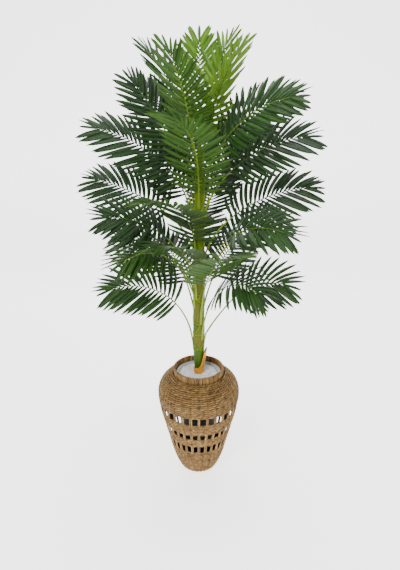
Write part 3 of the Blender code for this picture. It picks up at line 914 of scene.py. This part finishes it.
# %% Rib
PETIOLE_STEPS = 12
LEAFLET_PITCH = 0.0172
STALK_FOOT, STALK_BLADE, STALK_TIP = 0.0042, 0.0028, 0.0012
STALK_GAP = 0.001


def heading(turn, rise):
    """Unit vector that faces `turn` degrees and climbs `rise` degrees."""
    turn, rise = radians(turn), radians(rise)
    return Vector((cos(turn) * cos(rise), sin(turn) * cos(rise), sin(rise)))


def along_frond(frond, along, at_foot, at_blade, at_tip):
    """A value at a distance along a frond, from its values at the foot, the blade and the tip."""
    end = frond.petiole + frond.blade
    return on_line(((0.0, at_foot), (frond.petiole, at_blade), (end, at_tip)), along)


def rib_direction(frond, along):
    """Direction, upper face and left side of the rib at a distance along it."""
    rise = along_frond(frond, along, frond.rise_foot, frond.rise_blade, frond.rise_tip)
    turn = frond.turn + frond.swing * (along / (frond.petiole + frond.blade)) ** 2
    forward, face = heading(turn, rise), heading(turn, rise + 90)
    side = forward.cross(face)
    roll = radians(frond.roll)
    return (forward, face * cos(roll) + side * sin(roll),
            side * cos(roll) - face * sin(roll))


def leaflet_steps(frond):
    """How many leaflets a frond carries, both sides together."""
    return 2 * round(frond.blade / LEAFLET_PITCH)


def stations(frond):
    """Distances along a frond: the petiole's steps, then one step for each leaflet."""
    steps = leaflet_steps(frond)
    marks = [frond.petiole * step / PETIOLE_STEPS for step in range(PETIOLE_STEPS)]
    return marks + [frond.petiole + frond.blade * step / steps for step in range(steps + 1)]


def rib_places(frond, marks):
    """Centre of the rib at each of its stations."""
    reach = trunk_radius(frond.foot) + STALK_FOOT + STALK_GAP
    place = trunk_centre(frond.foot) + heading(frond.turn, 0) * reach
    places = [place]
    for before, after in zip(marks, marks[1:]):
        place = place + rib_direction(frond, (before + after) / 2)[0] * (after - before)
        places.append(place)
    return places


def stalk_half(frond, along):
    """Half the thickness of a stalk at a distance along it."""
    return along_frond(frond, along, STALK_FOOT, STALK_BLADE, STALK_TIP)


print("room for", sum(leaflet_steps(frond) for frond in FRONDS), "leaflets")

# %% [markdown]
# The leaves are printed and coated cloth, dark and slightly glossy above and paler below. Their colours
# are plain ones dealt out frond by frond and leaflet by leaflet, and fine veins follow the leaflet's
# own UV map. Fronds at the back and sides of the crown are painted darker, as painted shade, and the
# front fronds are painted lighter, as painted light. The young fronds of the crown keep their own fresh
# green.

# %% Leaf finishes
# The first look is painted shade for fronds at the back and sides of the crown, the second is half
# painted shade, the third is painted light for the front fronds, and the last is the fresh green of
# young fronds
# Two tints for upper faces, then the underside and the midrib
LEAF_LOOKS = {
    "shade_dark": ((24, 56, 18), (32, 66, 22), (46, 80, 28), (70, 106, 34)),
    "mid": ((32, 68, 22), (42, 80, 26), (58, 94, 32), (88, 124, 40)),
    "light": ((40, 78, 20), (50, 90, 24), (62, 102, 28), (118, 150, 46)),
    "fresh": ((92, 140, 18), (112, 160, 26), (122, 168, 34), (80, 110, 30)),
}
VEINS = 11


def leaf_cloth(name, tint, roughness):
    board = Board("leaf_" + name, roughness)
    board.set("Specular IOR Level", 0.35)
    across = board.map_parts()[1]
    veins = board.maths("SINE", across * (VEINS * tau))
    patches = board.noise((30.0, 30.0, 30.0), detail=2.0)
    board.set("Base Color", board.blend(patches, colour(*tint, 0.5), colour(*tint, 1.05)))
    board.set("Roughness", patches * 0.2 + (roughness - 0.1))
    board.bump(veins, 0.00022)
    return board.material


leaf_materials = {
    look: [leaf_cloth(f"{look}_{part}", tint, rough)
           for part, tint, rough in zip(("a", "b", "under", "rib"), tints, (0.40, 0.44, 0.55, 0.5))]
    for look, tints in LEAF_LOOKS.items()
}
print(sum(len(made) for made in leaf_materials.values()), "leaf finishes")

# %% [markdown]
# One leaflet is a grid that is solidified while it is still flat. Its middle strip becomes the
# midrib. The outline narrows it at both ends, a fold along the middle makes it a shallow roof,
# and then each copy is bent along its own curve.

# %% Leaflet template
LEAFLET_STATIONS, LEAFLET_STRIPS = 7, 5
LEAFLET_THICK = 0.0006
LEAFLET_FOLD = 0.34
MIDRIB_LIFT = 0.00035
LEAF_OUTLINE = (
    (0.0, 0.40), (0.08, 0.62), (0.25, 0.90), (0.45, 1.0), (0.70, 0.95), (0.87, 0.70), (0.95, 0.42),
    (1.0, 0.08),
)
TOP, UNDER, RIB = 0, 2, 3


def leaflet_template():
    bm = bmesh.new()
    bmesh.ops.create_grid(bm, x_segments=LEAFLET_STATIONS, y_segments=LEAFLET_STRIPS, size=0.5)
    bmesh.ops.solidify(bm, geom=bm.verts[:] + bm.edges[:] + bm.faces[:], thickness=1.0)
    bmesh.ops.recalc_face_normals(bm, faces=bm.faces)
    highest = max(corner.co.z for corner in bm.verts)
    layer = bm.loops.layers.uv.new("UVMap")
    for face in bm.faces:
        is_rim = abs(face.normal.z) < 0.5
        is_rib = not is_rim and abs(face.calc_center_median().y) < 0.05
        face.material_index = RIB if is_rib else UNDER if is_rim or face.normal.z < 0 else TOP
        for loop in face.loops:
            loop[layer].uv = (loop.vert.co.x + 0.5, loop.vert.co.y + 0.5)
    for corner in bm.verts:
        across = on_line(((0.0, 0.0), (0.1, 0.04), (0.3, 0.27), (0.5, 0.5)), abs(corner.co.y))
        corner.co.y = copysign(across, corner.co.y)
        corner.co.x = 1 - (1 - (corner.co.x + 0.5)) ** 1.35
        corner.co.z = 0.0 if corner.co.z > highest - 0.5 else -1.0
    return as_mesh(bm, "leaflet")


leaflet_mesh = leaflet_template()
leaflet_paint = [face.material_index for face in leaflet_mesh.polygons]
print("leaflet of", len(leaflet_mesh.polygons), "faces")

# %% [markdown]
# A leaflet leaves the rib at an angle that closes towards the tip of the frond, sweeps forward
# and droops. Its middle line is a parabola, so its place and its direction are known at any share
# of its length, and the template is bent by asking for them station by station.

# %% Curve of a leaflet
LEAFLET_LENGTH, LEAFLET_WIDTH = 0.135, 0.0158
ANGLE_BASE, ANGLE_TIP = 86, 24
LEAFLET_RAISE = 6
LEAFLET_DROOP, LEAFLET_SWEEP = 0.20, 0.30
ANGLE_CHANCE, LIFT_CHANCE, LENGTH_CHANCE = 3, 4, 0.04
Leaflet = namedtuple("Leaflet", "start course bend forward hand length width")


def leaflet_spread(share):
    """Length of a leaflet as a share of the longest, from the blade's base to its tip."""
    return 0.48 + 0.52 * sin(pi * (0.16 + 0.78 * share))


def shape_leaflet(frond, along, centre, hand, change, chance):
    """The curve of one leaflet. `chance` is three small numbers that make each one differ."""
    forward, face, side = rib_direction(frond, along)
    share = (along - frond.petiole) / frond.blade
    angle = ANGLE_BASE + (ANGLE_TIP - ANGLE_BASE) * share + change[1] + ANGLE_CHANCE * chance[0]
    angle = radians(angle)
    lift = radians(LEAFLET_RAISE + change[0] + LIFT_CHANCE * chance[1])
    outward = side * hand * cos(lift) + face * sin(lift)
    course = forward * cos(angle) + outward * sin(angle)
    bend = forward * (LEAFLET_SWEEP * sin(angle)) + Vector((0, 0, -LEAFLET_DROOP))
    spread = leaflet_spread(share)
    length = LEAFLET_LENGTH * spread * change[2] * (1 + LENGTH_CHANCE * chance[2])
    width = LEAFLET_WIDTH * (0.62 + 0.38 * spread)
    start = centre + outward * stalk_half(frond, along) * 0.6
    return Leaflet(start, course, bend, forward, hand, length, width)


def leaflet_point(leaflet, reach):
    """Place on a leaflet's middle line at a share of its length."""
    return leaflet.start + (leaflet.course * reach + leaflet.bend * reach * reach) * leaflet.length


def leaflet_axes(leaflet, reach):
    """Across and upward directions of a leaflet at a share of its length."""
    tangent = (leaflet.course + leaflet.bend * (2 * reach)).normalized()
    ahead = (leaflet.forward - tangent * leaflet.forward.dot(tangent)).normalized()
    upper = tangent.cross(ahead) * leaflet.hand
    return upper.cross(tangent), upper


def add_leaflet(bm, leaflet, tint):
    """Bend a copy of the template along a leaflet's curve."""
    known = {}

    def place(corner):
        key = round(corner.x, 4)
        if key not in known:
            across, upper = leaflet_axes(leaflet, corner.x)
            wide = leaflet.width * on_line(LEAF_OUTLINE, corner.x)
            known[key] = leaflet_point(leaflet, corner.x), across, upper, wide
        middle, across, upper, wide = known[key]
        away = abs(corner.y)
        lift = corner.z * LEAFLET_THICK - LEAFLET_FOLD * away * wide
        if away < 0.1:
            lift += MIDRIB_LIFT * (1 + 2 * corner.z)
        return middle + across * (corner.y * wide) + upper * lift

    add_copy(bm, leaflet_mesh, place, lambda index: leaflet_paint[index] or tint)


print("longest leaflet", LEAFLET_LENGTH, "m")

# %% [markdown]
# Fronds of one plant don't pass through each other. Before a leaflet is kept, a thin stand-in
# with few triangles is tested against the stand-ins of everything that is there already. The
# boxes round two stand-ins are compared first, because most pairs are far apart.

# %% Room for a leaflet
STAND_IN_WIDE, STAND_IN_THICK = 0.45, 0.0012
STAND_IN_STARTS, STAND_IN_RINGS = 0.06, (0.3, 0.7)


def make_tree(corners, faces):
    """The box round a stand-in, and its triangles as a tree."""
    box = [(min(values), max(values)) for values in zip(*corners)]
    return box, BVHTree.FromPolygons(corners, faces)


def are_apart(first, second):
    return any(a[0] > b[1] or a[1] < b[0] for a, b in zip(first, second))


def is_free(tree, owner, taken):
    """Whether a stand-in touches nothing of another owner."""
    box, mine = tree
    return not any(other_owner != owner and not are_apart(box, other_box) and mine.overlap(other)
                   for (other_box, other), other_owner in taken)


def in_box(leaflet):
    """Whether a leaflet stays inside the box round the solids."""
    low, high = cad_box
    points = [leaflet_point(leaflet, reach) for reach in (0.6, 0.8, 1.0)]
    return all(low[axis] < point[axis] < high[axis] for point in points for axis in range(3))


def leaflet_stand_in(leaflet):
    """Corners and triangles of a thin spindle round a leaflet."""
    across, upper = leaflet_axes(leaflet, 0.5)
    wide, thick = across * leaflet.width * STAND_IN_WIDE, upper * STAND_IN_THICK
    corners = [leaflet_point(leaflet, STAND_IN_STARTS)]
    for reach in STAND_IN_RINGS:
        middle = leaflet_point(leaflet, reach)
        corners += [middle - wide - thick, middle - wide + thick,
                    middle + wide + thick, middle + wide - thick]
    corners.append(leaflet_point(leaflet, 1.0))
    faces = []
    for side in range(4):
        after = (side + 1) % 4
        faces += [(0, 1 + side, 1 + after), (1 + side, 5 + side, 5 + after),
                  (1 + side, 5 + after, 1 + after), (5 + side, 9, 5 + after)]
    return corners, faces


def stalk_stand_in(frond, marks, places):
    """Corners and triangles of a three-sided tube round a stalk."""
    corners, faces = [], []
    for along, place in zip(marks, places):
        _, face, side = rib_direction(frond, along)
        half = stalk_half(frond, along)
        corners += [place + face * half, place + side * half - face * half,
                    place - side * half - face * half]
    for step in range(len(marks) - 1):
        for part in range(3):
            low, high = 3 * step + part, 3 * step + (part + 1) % 3
            faces += [(low, high, high + 3), (low, high + 3, low + 3)]
    return corners, faces


print("stand-ins ready")

# %% [markdown]
# Now the fronds get their leaflets. Where a leaflet would touch another frond or leave the box of
# the solids, it is raised, lowered, turned or shortened until it is clear, which is also what
# happens when a frond is arranged by hand. A leaflet for which nothing helps is left out.

# %% Leaflets
# What is tried in turn: degrees up, degrees away from the tip, and the share of the length
CHANGES = (
    (0, 0, 1.0), (12, 0, 1.0), (-12, 0, 1.0), (0, -9, 1.0), (0, 0, 0.9), (22, 0, 0.95), (-22, 0, 0.95),
    (0, 0, 0.8), (16, -10, 0.8), (-16, -10, 0.8), (0, 0, 0.65), (20, 0, 0.6), (-20, 0, 0.6),
)
# The lowest front frond lacks its first leaflets, so the trunk shows there
BARE_STEPS = {6: 7}
TIP_LENGTH, TIP_WIDTH = LEAFLET_LENGTH * 0.5, LEAFLET_WIDTH * 0.7


def make_leaflets():
    """One piece of leaflets for each look, and a count of what had to be left out."""
    trunk = frame["nodes"]["trunk"].data
    taken = [(make_tree([corner.co.copy() for corner in trunk.vertices],
                        [tuple(face.vertices) for face in trunk.polygons]), "trunk")]
    ribs = []
    for number, frond in enumerate(FRONDS):
        marks = stations(frond)
        ribs.append((marks, rib_places(frond, marks)))
        taken.append((make_tree(*stalk_stand_in(frond, *ribs[number])), number))
    meshes = {look: bmesh.new() for look in LEAF_LOOKS}
    chances = random.Random(11)
    left_out = 0
    for number, frond in enumerate(FRONDS):
        marks, places = ribs[number]
        for step in range(BARE_STEPS.get(number + 1, 0), leaflet_steps(frond)):
            index = PETIOLE_STEPS + step
            along = (marks[index] + marks[index + 1]) / 2
            centre = (places[index] + places[index + 1]) / 2
            chance = [chances.uniform(-1, 1) for _ in range(3)]
            tint = chances.randrange(2)
            for change in CHANGES:
                leaflet = shape_leaflet(frond, along, centre, 1 if step % 2 else -1, change, chance)
                tree = make_tree(*leaflet_stand_in(leaflet))
                if in_box(leaflet) and is_free(tree, number, taken):
                    taken.append((tree, "leaflet"))
                    add_leaflet(meshes[frond.look], leaflet, tint)
                    break
            else:
                left_out += 1
        forward, _, side = rib_direction(frond, marks[-1])
        droop = Vector((0, 0, -LEAFLET_DROOP * 0.5))
        tip = Leaflet(places[-1], forward, droop, side, -1, TIP_LENGTH, TIP_WIDTH)
        add_leaflet(meshes[frond.look], tip, 0)
    for look, bm in meshes.items():
        nodes = [f"frond_{number:02d}" for number, frond in enumerate(FRONDS, 1) if frond.look == look]
        add_piece(bm, "leaflets_" + look, leaf_materials[look], nodes)
    print(left_out, "leaflets left out")


make_leaflets()

# %% [markdown]
# The stalks are tubes. Below a stalk's foot the tube lies flat against the trunk, where a real
# leaf stalk clasps the stem, and above it the tube is slender and slightly flattened. The bare
# stalk is pale green, and the rib takes the tint of its frond.

# %% Stalks
CLASP_RINGS, CLASP_LONG = 7, 0.062
CLASP_WIDE, CLASP_THICK, CLASP_GAP = 0.0060, 0.0008, 0.0006
FOOT_WIDER, STALK_FLATTER = 1.25, 0.8
# A stalk takes on the roll of its frond over this distance
ROLL_OVER = 0.03
STALK_SIDES, STALK_MAP_LENGTH = 8, 0.45


def rib_finish(name, tint):
    board = Board("rib_" + name, roughness=0.58)
    board.set("Specular IOR Level", 0.25)
    streaks = board.noise((300.0, 300.0, 40.0))
    board.set("Base Color", board.blend(streaks, colour(*tint, 0.7), colour(*tint, 1.2)))
    board.bump(streaks, 0.0004)
    return board.material


# The rib tints after the petiole follow the frond looks, so they carry the same painted shade and
# painted light
RIB_TINTS = {"petiole": (124, 148, 40), "shade_dark": (60, 94, 28), "mid": (84, 118, 36),
             "light": (116, 150, 44), "fresh": (66, 96, 28)}
rib_materials = [rib_finish(name, tint) for name, tint in RIB_TINTS.items()]


def stalk_rings(frond):
    """Centre, side, upper face, half width and half thickness of each ring of a stalk."""
    marks = stations(frond)
    rings = []
    out = heading(frond.turn, 0)
    plain_side = Vector((0, 0, 1)).cross(-out)
    for ring in range(CLASP_RINGS):
        share = ring / CLASP_RINGS
        height = frond.foot - CLASP_LONG * (1 - share)
        reach = trunk_radius(height) + CLASP_GAP + (STALK_FOOT + STALK_GAP - CLASP_GAP) * share ** 2
        rings.append((trunk_centre(height) + out * reach, plain_side, -out,
                      CLASP_WIDE + (STALK_FOOT * FOOT_WIDER - CLASP_WIDE) * share ** 0.7,
                      CLASP_THICK + (STALK_FOOT * STALK_FLATTER - CLASP_THICK) * share))
    for along, place in zip(marks, rib_places(frond, marks)):
        _, face, side = rib_direction(frond, along)
        half = stalk_half(frond, along)
        rolled = min(1.0, along / ROLL_OVER)
        side = (plain_side * (1 - rolled) + side * rolled).normalized()
        face = (face - side * face.dot(side)).normalized()
        wide = half * (FOOT_WIDER + (1 - FOOT_WIDER) * rolled)
        rings.append((place, side, face, wide, half * STALK_FLATTER))
    return rings


def make_stalks():
    bm = bmesh.new()
    for frond in FRONDS:
        rings = stalk_rings(frond)
        count = len(rings)
        template = tube_template(count, STALK_SIDES, length=STALK_MAP_LENGTH)
        rib_tint = list(RIB_TINTS).index(frond.look)
        blade_from = (CLASP_RINGS + PETIOLE_STEPS) / (count - 1)

        def place(corner):
            centre, side, face, wide, thick = rings[round(corner.z * (count - 1))]
            return centre + side * (corner.x * wide) + face * (corner.y * thick)

        def paint(index):
            return rib_tint if template.polygons[index].center.z > blade_from else 0

        add_copy(bm, template, place, paint)
    bmesh.ops.recalc_face_normals(bm, faces=bm.faces)
    nodes = [f"frond_{number:02d}" for number in range(1, len(FRONDS) + 1)]
    add_piece(bm, "stalks", rib_materials, nodes)


make_stalks()

# %% [markdown]
# Pale paper runs from the floor up behind the plant in one curve, so no corner shows. It glows a
# little, and large soft lamps stand above and to both sides. The paper isn't part of the plant.

# %% Studio
PAPER_HALF, PAPER_BACK, PAPER_CURVE, PAPER_TALL = 4.0, 2.2, 0.9, 4.0
PAPER_GAP = 0.0005
PAPER_GLOW = 2.2
LAMP_AIM = Vector((0, 0, 0.9))
# Place, width and power of each lamp
LAMPS = {
    "key": ((-1.2, -2.4, 3.2), 1.4, 110),
    "fill": ((2.2, -2.0, 1.8), 2.0, 30),
    "top": ((0.2, 0.2, 3.8), 1.6, 90),
}
WORLD_LIGHT = 0.1


def make_paper():
    bm = bmesh.new()
    bmesh.ops.create_grid(bm, x_segments=1, y_segments=40, size=0.5)
    floor, arc = PAPER_HALF + PAPER_BACK, PAPER_CURVE * pi / 2
    for corner in bm.verts:
        length = (corner.co.y + 0.5) * (floor + arc + PAPER_TALL)
        turn = min(max(length - floor, 0.0), arc) / PAPER_CURVE
        north = min(length, floor) - PAPER_HALF + PAPER_CURVE * sin(turn)
        height = PAPER_CURVE * (1 - cos(turn)) + max(0.0, length - floor - arc)
        corner.co = Vector((corner.co.x * 2 * PAPER_HALF, north, height - PAPER_GAP))
    paper = add_object("paper", as_mesh(bm, "paper"))
    board = Board("studio_paper", roughness=0.9)
    board.set("Base Color", colour(246, 246, 246))
    board.set("Emission Color", (1.0, 1.0, 1.0, 1.0))
    board.set("Emission Strength", PAPER_GLOW)
    paper.data.materials.append(board.material)
    paper.data.shade_smooth()


def add_lamp(name, place, size, power):
    data = bpy.data.lights.new(name, "AREA")
    data.size = size
    data.energy = power
    lamp = add_object(name, data)
    lamp.location = place
    lamp.rotation_euler = (LAMP_AIM - Vector(place)).to_track_quat("-Z", "Y").to_euler()


make_paper()
for lamp_name, lamp_settings in LAMPS.items():
    add_lamp(lamp_name, *lamp_settings)
world = bpy.data.worlds.new("studio")
world.use_nodes = True
sky = world.node_tree.nodes["Background"].inputs
sky["Color"].default_value = (1, 1, 1, 1)
sky["Strength"].default_value = WORLD_LIGHT
bpy.context.scene.world = world
print("studio lit by", len(LAMPS), "lamps")
